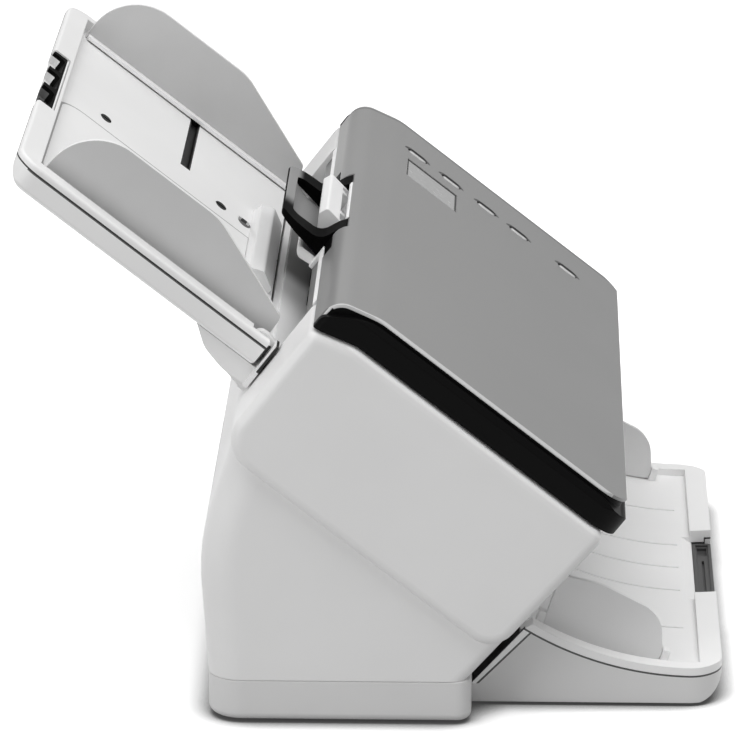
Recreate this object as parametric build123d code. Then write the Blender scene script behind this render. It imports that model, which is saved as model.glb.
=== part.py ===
from build123d import *
from math import acos, cos, hypot, pi, radians, sin, sqrt, tan
import os

# Desktop document scanner with a straight, sloping paper path.
# Origin on the table, in the middle of the object's outline. Millimetres.
# +Z is up, -Y is the front where the sheets come out, +X is the operator's right.
# Most pieces lie along the paper path, so they are drawn in a slope frame (X, s, v):
# s runs up the path towards the back, v stands square to the path, and tilt() turns
# that frame by the path's slope about X.

# Driving dimensions
SLOPE = 38.0                # slope of the paper path above the table, degrees
BODY_WIDTH = 330.0          # across the two side covers
PEDESTAL_WIDTH = 321.0      # across the foot of the machine, below the crease
CENTRE_WIDTH = 250.0        # between the inner walls of the side covers
WALL = 2.6                  # wall of the large mouldings
SKIN = 2.4                  # wall of the cover's mouldings

SEAM_Z = 18.0               # joint between the bottom pan and the covers
PAN_BOTTOM = 1.2            # the rubber feet lift the pan by this much
PEDESTAL_FRONT = -38.4      # where the leaning front wall meets the pan
PEDESTAL_BACK = 64.1
PEDESTAL_BULGE = 67.9       # corner of the tangents of the bulged back wall
BULGE_Z = 71.3

HOUSING_BACK = 118.0        # slope frame: back face of the upper housing
HOUSING_TOP = 120.2         # parting line under the cover's band
HOUSING_BOTTOM = 54.0       # crease along each side
HOUSING_FRONT = -24.5       # front face at the parting line
HOUSING_FRONT_LOW = -20.1   # front face at the crease
BACK_DROP = 4.8             # the parting line falls this much at the back

PAPER = 87.4                # paper plane of the lower guide plate
PLATE = 2.4                 # thickness of that plate
FRAME_HALF = 121.5          # outside of the sheet metal frames
FRAME_SHEET = 1.5
SHAFT_R = 3.0
RUNNING = 0.05              # radial clearance of a turning shaft
ROLLER_PROUD = 0.6          # how far the driven rollers stand above the plate

FEED_S, FEED_R = 98.0, 10.0
EXIT_S, EXIT_R = 4.0, 9.0
SEPARATOR_R, IDLER_R = 10.0, 5.5
LOWER_GLASS_S, UPPER_GLASS_S = 34.0, 62.0
GLASS_LENGTH, GLASS_WIDTH, GLASS = 19.4, 223.0, 1.6

COVER_HINGE = (-19.5, 115.0)    # slope frame: axis of the cover's trunnions
CATCH, CATCH_R = (104.3, 101.5), 1.8    # slope frame: pins that hold the closed cover
BAND_HALF = 163.4           # half width over the black band
LID_HALF = 159.6            # half width over the grey lid
LID_TOP = 134.2
LID_RIM = 1.3               # height of the lid's edge that shows above the band
LEDGE, LEDGE_FRONT = 131.6, 129.4    # top of the band beside the lid and in front of it
BAND_FRONT = -27.9
BAND_INSIDE = 154.4         # half width inside the band's wall
LID_FRONT = -24.2
LID_SEAT = -19.0            # back of the band's front wall
PARTING_GAP = 0.5

TRAY_START, TRAY_END = 122.3, 246.8
TRAY_HALF = 132.0
TRAY_FLOOR, TRAY_RIM, TRAY_SEAM, TRAY_BOTTOM = 87.5, 93.0, 90.3, 80.8
TRAY_POCKET = 124.0         # half width between the tray's rims
TRAY_CAP = 237.0            # where the floor meets the end rim
FLOOR = 1.5
TRAY_HINGE = (126.0, 90.0)  # slope frame: fold axis of the input tray
GUIDE_FACE = 119.6          # outer face of an upright side guide
RACK_MODULE = 1.0
PINION_TEETH = 16
PINION_S = 160.5
GRIP_HALF = 43.0

OUT_HALF = 136.0            # output tray, half width
OUT_FLOOR_CENTRE = (-130.0, 143.1)   # world Y, Z of the centre of the tray's hollow arc
OUT_RIM_R = 127.0           # radius of the rim's upper line
OUT_FRONT = -140.5
OUT_BACK_TOP = (-64.6, 34.4)
OUT_BACK_LOW = (-41.0, 10.4)
OUT_GUIDE_BACK = (-69.5, 32.2)       # fold axis of the output side guides, world Y, Z
OUT_GUIDE_FRONT = (-116.0, 17.2)

KEY_X = 121.0
KEY_S = (88.0, 69.5, 50.0, 32.0, 5.0)
KEY_LENGTH, KEY_WIDTH = 10.0, 6.0
DISPLAY = (92.0, 79.5, 28.0, 27.0)   # centre X, centre s, width, length

os.makedirs("parts", exist_ok=True)


# Drawing helpers
def block(x0, x1, y0, y1, z0, z1):
    """Block between two corners, in whichever frame the piece is drawn in."""
    return Pos((x0 + x1) / 2, (y0 + y1) / 2, (z0 + z1) / 2) * Box(x1 - x0, y1 - y0, z1 - z0)


def outline(*corners):
    """Closed face whose corners are (a, b) or (a, b, radius)."""
    points = [Vector(c[0], c[1]) for c in corners]
    radii = [c[2] if len(c) > 2 else 0 for c in corners]
    arcs, ins, outs = [], [], []
    for i, point in enumerate(points):
        back = (points[i - 1] - point).normalized()
        ahead = (points[(i + 1) % len(points)] - point).normalized()
        half = radians(back.get_angle(ahead)) / 2
        reach = radii[i] / tan(half)
        ins.append(point + back * reach)
        outs.append(point + ahead * reach)
        if radii[i]:
            middle = (back + ahead).normalized() * (radii[i] / sin(half) - radii[i])
            arcs.append(ThreePointArc(ins[i], point + middle, outs[i]))
    lines = [
        Line(outs[i - 1], ins[i]) for i in range(len(points)) if (ins[i] - outs[i - 1]).length > 1e-4
    ]
    return make_face(arcs + lines)


def along_x(face, x0, x1):
    """Side profile drawn in (Y, Z) or (s, v), drawn out between two values of X."""
    return extrude(Plane.YZ.offset(x0) * face, amount=x1 - x0)


def along_z(face, z0, z1):
    """Plan drawn in (X, Y) or (X, s), drawn out between two heights."""
    return extrude(Plane.XY.offset(z0) * face, amount=z1 - z0)


def rod(x0, x1, y, z, r):
    """Round bar along X."""
    return along_x(Pos(y, z) * Circle(r), x0, x1)


def tilt(shape):
    """Turn a piece from the slope frame into the object's frame."""
    return Rot(SLOPE, 0, 0) * shape


def mirrored(shape):
    return mirror(shape, about=Plane.YZ)


def plan(half, y0, y1, front_r, back_r):
    """Plan outline with its own radius at the two front and the two back corners."""
    return outline((-half, y0, front_r), (half, y0, front_r), (half, y1, back_r), (-half, y1, back_r))


def save(name, shape):
    shape.label = name
    export_step(shape, f"parts/{name}.step")


# Envelope of the body below the cover
def housing_face():
    """Side profile of the upper housing, in (s, v)."""
    return outline(
        (HOUSING_FRONT, HOUSING_TOP, 5.2),
        (99.7, HOUSING_TOP, 20),
        (HOUSING_BACK, HOUSING_TOP - BACK_DROP, 4),
        (HOUSING_BACK, HOUSING_BOTTOM, 14),
        (HOUSING_FRONT_LOW, HOUSING_BOTTOM, 12),
    )


def pedestal_face(bottom):
    """Side profile of the pedestal, in world (Y, Z), from its bottom up into the housing."""
    lean = 51.8 / 57.9
    inside_front = (PEDESTAL_FRONT - 19.0 * lean, SEAM_Z + 19.0)
    bottom_front = (PEDESTAL_FRONT + (SEAM_Z - bottom) * lean, bottom)
    return outline(
        bottom_front,
        (PEDESTAL_BACK, bottom),
        (PEDESTAL_BULGE, BULGE_Z, 90),
        (52.5, 119.5),
        (15.0, 105.0),
        inside_front,
    )


def body_face(inset, bottom):
    """Both profiles in world (Y, Z) as one face, pulled in by the inset."""
    housing = Rot(0, 0, SLOPE) * housing_face()
    pedestal = pedestal_face(bottom)
    if inset:
        housing = offset(housing, -inset, kind=Kind.INTERSECTION)
        pedestal = offset(pedestal, -inset, kind=Kind.INTERSECTION)
    return housing + pedestal


def body_solid(inset, bottom):
    """Outer form of the body, or its hollow when it is pulled in by a wall."""
    housing = housing_face()
    pedestal = pedestal_face(bottom)
    if inset:
        housing = offset(housing, -inset, kind=Kind.INTERSECTION)
        pedestal = offset(pedestal, -inset, kind=Kind.INTERSECTION)
    half = BODY_WIDTH / 2 - inset
    upper = along_x(housing, -half, half)
    if not inset:
        ends = upper.faces().sort_by(Axis.X)
        upper = fillet(ends[0].edges() + ends[-1].edges(), 4.5)
    half = PEDESTAL_WIDTH / 2 - inset
    lower = along_x(pedestal, -half, half)
    backs = [
        e for e in lower.edges().filter_by(lambda e: abs(abs(e.center().X) - half) < 0.01)
        if e.center().Y > 55
    ]
    lower = fillet(backs, 14 - inset)
    fronts = [
        e for e in lower.edges().filter_by(lambda e: abs(abs(e.center().X) - half) < 0.01)
        if e.center().Y < -35 and e.length > 5
    ]
    if not inset:
        lower = fillet(fronts, 5)
    return tilt(upper) + lower


def side_cover():
    """Moulded cover of the operator's left side, with the wall of the cover's well."""
    far = 400
    region = block(-far, -CENTRE_WIDTH / 2, -far, far, SEAM_Z, far)
    outer = body_solid(0, SEAM_Z)
    hollow = body_solid(WALL, SEAM_Z - 8)
    cover = (outer - hollow) & region
    inner_wall = tilt(
        block(-CENTRE_WIDTH / 2 - SKIN, -CENTRE_WIDTH / 2, -far, far, PAPER - PLATE, far)
    )
    cover += inner_wall & outer
    s, v = COVER_HINGE
    cover -= tilt(rod(-CENTRE_WIDTH / 2 - 4, -CENTRE_WIDTH / 2 + 1, s, v, SHAFT_R + RUNNING))
    return cover - tilt(rod(-CENTRE_WIDTH / 2 - 1.6, -CENTRE_WIDTH / 2 + 1, *CATCH, CATCH_R))


def latch_catches():
    """Steel pins pressed into the inner walls, one beside each hook of the cover's latch."""
    pin = tilt(rod(-CENTRE_WIDTH / 2 - 1.6, -CENTRE_WIDTH / 2 + 2.4, *CATCH, CATCH_R))
    return Compound(children=[pin, mirrored(pin)])


def centre_walls():
    """Back and front walls between the side covers."""
    half = CENTRE_WIDTH / 2
    ring = body_face(0, SEAM_Z) - body_face(WALL, SEAM_Z - 8)
    under_plate = PAPER - PLATE
    back_limit = Rot(0, 0, SLOPE) * outline((40, -200), (200, -200), (200, under_plate), (40, under_plate))
    front_limit = Rot(0, 0, SLOPE) * outline((-100, -200), (40, -200), (40, 80), (-100, 80))
    world_back = outline((20, SEAM_Z), (200, SEAM_Z), (200, 300), (20, 300))
    world_front = outline((-200, SEAM_Z), (-10, SEAM_Z), (-10, 200), (-200, 200))
    back = along_x(ring & back_limit & world_back, -half, half)
    front = along_x(ring & front_limit & world_front, -half, half)
    return back, front


def rear_cover(back):
    """Back wall with a recess for the two sockets and rows of vent slots."""
    for x0, x1, z0, z1 in ((USB_X - 8, USB_X + 8, 24.5, 38.0), (POWER_X - 7, POWER_X + 7, 24.5, 38.0)):
        back -= block(x0, x1, 50, 80, z0, z1)
    for i in range(9):
        x = -94 + i * 9.0
        back -= block(x, x + 3.0, 50, 80, 52, 84)
    return back


def bottom_pan():
    """Tub under the pedestal, with posts for the board and recesses for the feet."""
    half = PEDESTAL_WIDTH / 2
    outer = along_z(plan(half, PEDESTAL_FRONT - 2.0, PEDESTAL_BACK, 6, 14), PAN_BOTTOM, SEAM_Z)
    outer = fillet(outer.faces().sort_by(Axis.Z)[0].edges(), 3.2)
    rim = outer.faces().sort_by(Axis.Z)[-1].edges()
    outer = chamfer(rim, 0.5)
    floor = PAN_BOTTOM + WALL
    inner = along_z(
        plan(half - WALL, PEDESTAL_FRONT - 2.0 + WALL, PEDESTAL_BACK - WALL, 4, 11.4), floor, SEAM_Z + 1
    )
    pan = outer - inner
    for x in (-60.0, 80.0):
        for y in (-14.0, 40.0):
            pan += Pos(x, y, (floor + BOARD_Z) / 2) * Cylinder(3.5, BOARD_Z - floor)
    for x, y in FEET:
        pan -= Pos(x, y, PAN_BOTTOM + 0.6) * Cylinder(8.2, 1.2)
    return pan


FEET = [(x, y) for x in (-138.0, 138.0) for y in (-24.0, 46.0)]
BOARD_Z = 24.0
USB_X, POWER_X = 50.0, 78.0


def rubber_feet():
    feet = [Pos(x, y, 1.2) * Cylinder(8.0, 2.4) for x, y in FEET]
    return Compound(children=[chamfer(f.edges().sort_by(Axis.Z)[0], 0.5) for f in feet])


def main_board():
    """Circuit board on the pan's posts, with its larger parts."""
    board = block(-70, 90, -24, 57, BOARD_Z, BOARD_Z + 1.6)
    for x, y, w, d, h in ((-20, 5, 18, 18, 2), (20, 20, 14, 14, 2), (-50, 35, 12, 12, 9), (60, 0, 20, 6, 7)):
        board += block(x, x + w, y, y + d, BOARD_Z + 1.6, BOARD_Z + 1.6 + h)
    return board


def usb_port():
    z = BOARD_Z + 1.6
    port = block(USB_X - 6, USB_X + 6, 48, 64.6, z, z + 10.8)
    port -= block(USB_X - 4.2, USB_X + 4.2, 54, 66, z + 1.8, z + 9.2)
    return port + block(USB_X - 2.8, USB_X + 2.8, 53, 63, z + 4.0, z + 7.2)


def power_inlet():
    z = BOARD_Z + 1.6
    jack = block(POWER_X - 5, POWER_X + 5, 50, 64.6, z, z + 10.8)
    bore = Pos(POWER_X, 60, z + 5.8) * Rot(90, 0, 0) * Cylinder(3.3, 14)
    pin = Pos(POWER_X, 57.5, z + 5.8) * Rot(90, 0, 0) * Cylinder(1.0, 12)
    return jack - bore + pin


# Chassis and paper transport of the lower body
FEED_V = PAPER + ROLLER_PROUD - FEED_R
EXIT_V = PAPER + ROLLER_PROUD - EXIT_R
MOTOR = (8.0, 52.0)         # world Y, Z of the motor's shaft


def world(s, v):
    """World (Y, Z) of a point of the slope frame."""
    angle = radians(SLOPE)
    return (s * cos(angle) - v * sin(angle), s * sin(angle) + v * cos(angle))


FEED_AXIS = world(FEED_S, FEED_V)
EXIT_AXIS = world(EXIT_S, EXIT_V)
FEED_TYRES = ((-25.0, -4.0), (4.0, 25.0))
EXIT_TYRES = [(x - 9.0, x + 9.0) for x in (-85.0, -40.0, 40.0, 85.0)]


def lower_guide_plate():
    """Paper plate with its roll-off lip, roller windows, glass seat and rails."""
    half = CENTRE_WIDTH / 2
    face = outline(
        (HOUSING_BACK, PAPER),
        (-5, PAPER, 14),
        (-21.8, 80.0),
        (-19.4, 80.0),
        (-4.2, PAPER - PLATE, 11),
        (HOUSING_BACK, PAPER - PLATE),
    )
    plate = along_x(face, -half, half)
    for x in range(-110, 111, 22):
        if abs(x) > 30:
            plate += block(x - 0.5, x + 0.5, 46, 90, PAPER - 0.2, PAPER + 0.35)
    for x0, x1 in FEED_TYRES:
        plate -= block(x0 - 0.8, x1 + 0.8, FEED_S - 7.8, FEED_S + 7.8, PAPER - 5, PAPER + 5)
    for x0, x1 in EXIT_TYRES:
        plate -= block(x0 - 0.8, x1 + 0.8, EXIT_S - 7.4, EXIT_S + 7.4, PAPER - 5, PAPER + 5)
    seat = GLASS_LENGTH / 2 + 0.1
    wide = GLASS_WIDTH / 2 + 0.1
    plate -= block(-wide, wide, LOWER_GLASS_S - seat, LOWER_GLASS_S + seat, PAPER - GLASS, PAPER + 1)
    plate -= block(-wide + 3, wide - 3, LOWER_GLASS_S - 6.5, LOWER_GLASS_S + 6.5, PAPER - 5, PAPER)
    return tilt(plate)


def glass(s, bottom):
    half, reach = GLASS_WIDTH / 2, GLASS_LENGTH / 2
    return block(-half, half, s - reach, s + reach, bottom, bottom + GLASS)


def image_sensor(s, v0, v1):
    """Bar-shaped contact image sensor, as long as the glass strip that it looks through."""
    return block(-113, 113, s - 7.5, s + 7.5, v0, v1)


def side_frame():
    """Sheet metal frame of the left side, standing on the pan under the plate."""
    low = PAN_BOTTOM + WALL
    face = outline(
        (-28, low), (46, low), (46, 92, 6), world(107, 66) + (4,), world(113, PAPER - PLATE),
        world(1, PAPER - PLATE), world(-12, 70) + (4,), (-31, 24, 4),
    )
    for axis in (FEED_AXIS, EXIT_AXIS):
        face -= Pos(*axis) * Circle(4.45)
    face -= Pos(*MOTOR) * Circle(10.1)
    face -= Pos(25, 75) * Circle(9)
    return along_x(face, -FRAME_HALF, -FRAME_HALF + FRAME_SHEET)


def shaft_bearings():
    """Flanged bushes of the two driven shafts, one in each frame."""
    bushes = []
    for y, z in (FEED_AXIS, EXIT_AXIS):
        bush = rod(-FRAME_HALF - 1.5, -FRAME_HALF, y, z, 5.6)
        bush += rod(-FRAME_HALF, -FRAME_HALF + 3.0, y, z, 4.4)
        bush -= rod(-FRAME_HALF - 2, -FRAME_HALF + 4, y, z, SHAFT_R + RUNNING)
        bushes += [bush, mirrored(bush)]
    return Compound(children=bushes)


def drive_shaft(axis):
    return rod(-134.6, 123.6, axis[0], axis[1], SHAFT_R)


def tyres(axis, spans, r):
    """Rubber tyres pressed on a shaft, with softened rims."""
    pieces = []
    for x0, x1 in spans:
        tyre = rod(x0, x1, axis[0], axis[1], r)
        tyre = chamfer(tyre.edges().filter_by(GeomType.CIRCLE), 0.5)
        pieces.append(tyre - rod(x0 - 1, x1 + 1, axis[0], axis[1], SHAFT_R))
    return Compound(children=pieces)


PULLEY_X = (-134.0, -128.0)
FEED_PULLEY_R, EXIT_PULLEY_R, MOTOR_PULLEY_R = 11.0, 9.8, 6.0


def pulley(axis, r, bore):
    """Belt pulley with two flanges."""
    x0, x1 = PULLEY_X
    wheel = rod(x0, x1, axis[0], axis[1], r)
    wheel += rod(x0, x0 + 0.9, axis[0], axis[1], r + 1.6) + rod(x1 - 0.9, x1, axis[0], axis[1], r + 1.6)
    return wheel - rod(x0 - 1, x1 + 1, axis[0], axis[1], bore)


def drive_belt():
    """Belt round the motor's pulley and those of the two shafts."""
    loops = []
    for grow in (RUNNING * 2, 1.3):
        rims = [
            Pos(*FEED_AXIS) * Circle(FEED_PULLEY_R + grow),
            Pos(*EXIT_AXIS) * Circle(EXIT_PULLEY_R + grow),
            Pos(*MOTOR) * Circle(MOTOR_PULLEY_R + grow),
        ]
        loops.append(make_hull(rims[0].edges() + rims[1].edges() + rims[2].edges()))
    return along_x(loops[1] - loops[0], PULLEY_X[0] + 1.2, PULLEY_X[1] - 1.2)


def drive_motor():
    """Can motor bolted to the inside of the left frame."""
    y, z = MOTOR
    inner = -FRAME_HALF + FRAME_SHEET
    can = chamfer(rod(inner, inner + 36, y, z, 17.5).edges().sort_by(Axis.X)[-1], 1.5)
    boss = rod(inner - FRAME_SHEET - 1, inner, y, z, 10.0)
    return can + boss - rod(inner - 6, inner + 14, y, z, 2.0 + RUNNING)


def motor_pulley():
    y, z = MOTOR
    inner = -FRAME_HALF + FRAME_SHEET
    return pulley(MOTOR, MOTOR_PULLEY_R, 2.0) + rod(PULLEY_X[0], inner + 12, y, z, 2.0)


# Hinged cover
def cover_face(front):
    """Side profile of the lid, in (s, v), from a front face to the rolled back."""
    low = HOUSING_TOP + PARTING_GAP
    return outline(
        (front, low),
        (99.7, low, 20),
        (HOUSING_BACK, low - BACK_DROP),
        (HOUSING_BACK, 129.5, 9),
        (98.0, LID_TOP, 24),
        (front, LID_TOP),
    )


def band_face():
    """Side profile of the black band, whose top is the ledge below the lid's rim."""
    low = HOUSING_TOP + PARTING_GAP
    return outline(
        (BAND_FRONT, low, 1.0),
        (99.7, low, 20),
        (HOUSING_BACK, low - BACK_DROP),
        (HOUSING_BACK, 122.0, 5),
        (103.0, LEDGE, 24),
        (-14.0, LEDGE, 12),
        (LID_FRONT, LEDGE_FRONT, 1.0),
        (BAND_FRONT, LEDGE_FRONT, 2.5),
    )


def lid_plan(inset):
    return along_z(plan(LID_HALF - inset, LID_FRONT + inset, HOUSING_BACK, 13.5 - inset, 3), 90, 150)


def bevelled_section(half, top, bevel):
    """Section across the cover with bevelled upper corners, drawn out along s."""
    low, flat = top - bevel, half - bevel
    section = outline((-half, 90), (half, 90), (half, low), (flat, top), (-flat, top), (-half, low))
    return extrude(Plane.XZ.offset(60) * section, amount=-200)


def lid_block():
    """Lid's outer solid with its softened rim."""
    solid = along_x(cover_face(LID_FRONT), -LID_HALF, LID_HALF)
    front = solid.edges().filter_by(Axis.X).sort_by(Axis.Y)[:2].sort_by(Axis.Z)[-1]
    return chamfer(front, 0.9) & lid_plan(0) & bevelled_section(LID_HALF, LID_TOP, 0.9)


def under_rim():
    """Room below the lid's rim, across the whole width."""
    return along_x(offset(cover_face(-60), -LID_RIM, kind=Kind.INTERSECTION), -170, 170)


def band_block():
    solid = along_x(band_face(), -BAND_HALF, BAND_HALF)
    solid &= along_z(plan(BAND_HALF, BAND_FRONT, HOUSING_BACK, 13, 3), 90, 150)
    return solid & bevelled_section(BAND_HALF, LEDGE, 2.4)


def band_room():
    """Space inside the band's wall that the lid's skirt and the parts under it fill."""
    return block(-BAND_INSIDE, BAND_INSIDE, LID_SEAT, 200, HOUSING_TOP + PARTING_GAP + SKIN, 150)


def cover_frame():
    """Black frame round three sides: the band, the wall under the lid's rim, and a flange."""
    frame = band_block() + (under_rim() & lid_plan(0.6))
    frame -= lid_block() - under_rim()
    frame -= band_room()
    frame -= block(-120, 120, LID_SEAT, 200, 90, 150)
    return tilt(frame)


def cover_shell():
    """Grey lid with its display window, key holes and the notch over the release lever."""
    outer = lid_block()
    rim = outer - under_rim() - block(-200, 200, -60, HOUSING_BACK - LID_RIM - 0.2, 90, 126)
    skirt = outer & band_room()
    inside = BAND_INSIDE - SKIN
    hollow = along_x(offset(cover_face(LID_SEAT), -SKIN, kind=Kind.INTERSECTION), -inside, inside)
    skirt -= hollow + block(-inside, inside, LID_SEAT + SKIN, HOUSING_BACK - SKIN, 90, 125)
    back = outer & block(-119.6, 119.6, 100, 200, 90, 130)
    back -= hollow + block(-119.6, 119.6, 90, HOUSING_BACK - SKIN, 90, 125)
    lid = rim + skirt + back
    key_hole = Rot(0, 0, 90) * SlotOverall(KEY_LENGTH + 0.6, KEY_WIDTH + 0.6)
    for s in KEY_S:
        lid -= along_z(Pos(KEY_X, s) * key_hole, 120, 140)
    x, s, width, length = DISPLAY
    lid -= block(x - width / 2, x + width / 2, s - length / 2, s + length / 2, LID_TOP - 1.2, 140)
    lid -= block(x - width / 2 + 2, x + width / 2 - 2, s - length / 2 + 2, s + length / 2 - 2, 125, 140)
    lid -= block(-CUP_HALF - 0.4, CUP_HALF + 0.4, CUP_FRONT - 0.2, 130, 90, CUP_ARM_TOP + 0.4)
    lid -= block(-LEVER_HALF - 0.5, LEVER_HALF + 0.5, 116.0, 130, 90, 150)
    lid -= block(-CUP_BASE - 0.4, CUP_BASE + 0.4, 115.2, 130, 90, CUP_BASE_TOP + 0.4)
    for side in (-1, 1):
        x0, x1 = sorted((side * (CUP_OPENING[0] - 0.3), side * (CUP_HALF + 0.4)))
        lid -= block(x0, x1, CUP_NOSE - 0.3, 130, 90, 150)
    for px, ps in BOARD_POSTS:
        lid += along_z(Pos(px, ps) * Circle(2.5), 128.6, LID_TOP - SKIN + 0.5)
    return tilt(lid)


LEVER_HALF = 28.0
CUP_HALF, CUP_FRONT, CUP_BACK = 42.0, 112.2, 140.6
CUP_ARM_TOP = 126.4
CUP_NOSE = 115.5            # where the arms rise to the lid's surface
CUP_BASE, CUP_BASE_TOP = 60.0, 121.4    # half width and top of the plates beside the arms
CUP_SEAT = 110.4            # where the cup's arms stand on the transport unit
CUP_OPENING = (28.5, 135.3) # half width and back end of the opening in the cup
BOARD_POSTS = [(108.0, -2.0), (108.0, 60.0), (126.0, 97.0), (126.0, 20.0)]


def control_board():
    """Small board under the keys, on the lid's posts."""
    return tilt(block(103, 131, -8, 101, 127.0, 128.6))


def display_lens():
    x, s, width, length = DISPLAY
    edge = 0.15
    return tilt(
        block(x - width / 2 + edge, x + width / 2 - edge, s - length / 2 + edge, s + length / 2 - edge,
              LID_TOP - 1.2, LID_TOP - 0.3)
    )


def key(s):
    """Oval key with the collar that keeps it under the lid."""
    turn = Pos(KEY_X, s) * Rot(0, 0, 90)
    cap = along_z(turn * SlotOverall(KEY_LENGTH, KEY_WIDTH), 131.0, LID_TOP + 0.5)
    cap = chamfer(cap.faces().sort_by(Axis.Z)[-1].edges(), 0.5)
    collar = along_z(turn * SlotOverall(KEY_LENGTH + 3, KEY_WIDTH + 3), 130.4, LID_TOP - SKIN - 0.1)
    return tilt(cap + collar)


UNDERSIDE = PAPER + 1.5     # underside of the upper transport unit
SEPARATOR = (FEED_S, PAPER + ROLLER_PROUD + 0.4 + SEPARATOR_R)
IDLER = (EXIT_S, PAPER + ROLLER_PROUD + 0.35 + IDLER_R)
LATCH = (108.0, 113.5)
TUB_BACK = 116.4            # back face of the transport unit


def upper_transport_unit():
    """Tub under the lid that holds the upper half of the paper path."""
    top = HOUSING_TOP + 10
    half = 122.0
    outer = outline(
        (-23.8, top), (-23.8, 101, 3), (-9, UNDERSIDE, 12), (93, UNDERSIDE, 8),
        (TUB_BACK, 105.5, 3), (TUB_BACK, top),
    )
    inner = offset(outer, -2.2, kind=Kind.INTERSECTION)
    tub = along_x(outer, -half, half) - along_x(inner, -half + 2.2, half - 2.2)
    tub -= block(-200, 200, -60, 200, HOUSING_TOP + PARTING_GAP, 200)
    tub -= along_x(cover_face(-60), -200, 200)
    for s, v, r in ((*SEPARATOR, 2.5), (*IDLER, 2.0)):
        x = 15.0 if r > 2.2 else 98.0
        post = block(x, x + 2.4, s - 6, s + 6, 80, v + 5) & along_x(outer, -half, half)
        tub += post + mirrored(post)
    tub -= rod(-20, 20, *SEPARATOR, 2.5 + RUNNING) + rod(-104, 104, *IDLER, 2.0 + RUNNING)
    tub -= block(-13, 13, FEED_S - 11, FEED_S + 11, 80, 112)
    for x0, x1 in EXIT_TYRES:
        tub -= block(x0 - 1.5, x1 + 1.5, EXIT_S - 6.5, EXIT_S + 6.5, 80, 91.2)
    seat = GLASS_LENGTH / 2 + 0.1
    wide = GLASS_WIDTH / 2 + 0.1
    tub -= block(-wide, wide, UPPER_GLASS_S - seat, UPPER_GLASS_S + seat, 80, UNDERSIDE + GLASS)
    tub -= block(-wide + 3, wide - 3, UPPER_GLASS_S - 6.5, UPPER_GLASS_S + 6.5, 80, 95)
    tub -= block(-CUP_HALF, CUP_HALF, CUP_FRONT, 120, CUP_SEAT, 150)
    tub -= rod(-half - 1, half + 1, *LATCH, SHAFT_R + RUNNING)
    trunnion = rod(-half - 4.6, -half + 0.5, *COVER_HINGE, SHAFT_R)
    return tilt(tub + trunnion + mirrored(trunnion))


def roller_with_shaft(axis, spans, r, shaft_r, end):
    """Roller whose core and shaft turn together, in the slope frame."""
    body = rod(-end, end, *axis, shaft_r)
    for x0, x1 in spans:
        tyre = rod(x0, x1, *axis, r)
        body += chamfer(tyre.edges().filter_by(GeomType.CIRCLE), 0.5)
    return tilt(body)


def finger_cup():
    """Black hoop behind the lid, on two arms, that fingers reach through to the lever."""
    side = outline(
        (CUP_FRONT, CUP_SEAT), (TUB_BACK, CUP_SEAT), (126.0, 112.2, 8), (139.0, 114.2, 1),
        (CUP_BACK, 116.5, 1), (121.0, 116.8, 6), (117.6, 124.8, 1), (CUP_NOSE, 128.0),
        (CUP_NOSE, CUP_ARM_TOP), (CUP_FRONT, CUP_ARM_TOP),
    )
    hoop = along_x(side, -CUP_HALF, CUP_HALF)
    hoop &= along_z(plan(CUP_HALF, 100, CUP_BACK, 1, 14), 100, 130)
    hoop += block(-CUP_BASE, CUP_BASE, HOUSING_BACK - SKIN, HOUSING_BACK, 116.8, CUP_BASE_TOP)
    half, back = CUP_OPENING
    return tilt(hoop - along_z(plan(half, 100, back, 1, 4.5), 100, 130))


def finger_well():
    """Grey trough that closes the hoop's opening from below."""
    half, back = CUP_OPENING
    face = make_face([
        ThreePointArc((TUB_BACK, 111.7), (126.5, 111.2), (back, 115.0)),
        Line((back, 115.0), (back, 113.7)),
        ThreePointArc((back, 113.7), (126.5, 109.9), (TUB_BACK, CUP_SEAT)),
        Line((TUB_BACK, CUP_SEAT), (TUB_BACK, 111.7)),
    ])
    return tilt(along_x(face, -half, half) & along_z(plan(half, 100, back, 1, 4.5), 100, 130))


def rear_lip():
    """White trim along the back edge of the transport unit, with the block under the hoop."""
    face, end = HOUSING_BACK, CUP_HALF + 4
    strip = outline((TUB_BACK, 112.2), (face, 112.8, 0.6), (face, 115.8), (TUB_BACK, 115.8))
    under = outline((TUB_BACK, 105.6), (123.5, 105.0, 3), (127.5, 109.4, 1.5), (TUB_BACK, 109.4))
    lip = along_x(strip, -121.6, 121.6) + block(-end, end, TUB_BACK, face, 106, 113)
    lip -= block(-CUP_HALF - 0.1, CUP_HALF + 0.1, 100, 130, 109.4, 130)
    return tilt(lip + along_x(under, -CUP_HALF + 2, CUP_HALF - 2))


def release_lever():
    """Hooked lever on the latch shaft, with windows between its webs."""
    s, v = LATCH
    face = outline(
        (s - 4.6, v), (s - 2.2, v + 5.6, 3), (113.4, 124.2, 3), (124.6, 126.0, 1.2), (126.1, 122.0, 1.2),
        (122.2, 115.6, 0.8), (119.9, 115.7, 0.8), (117.8, 119.4, 1.5), (113.2, 118.4, 3),
        (s + 4.4, v - 3.2, 2), (s, v - 4.6, 2),
    )
    lever = along_x(face, -LEVER_HALF, LEVER_HALF)
    for x0, x1 in LEVER_WINDOWS:
        lever -= block(x0, x1, 113.6, 117.6, 100, 140)
    return tilt(lever - rod(-40, 40, s, v, SHAFT_R))


LEVER_WINDOWS = ((-25.6, -16.0), (-12.0, 17.0), (21.0, 25.6))


def latch_shaft():
    return tilt(rod(-124.4, 124.4, *LATCH, SHAFT_R))


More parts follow.
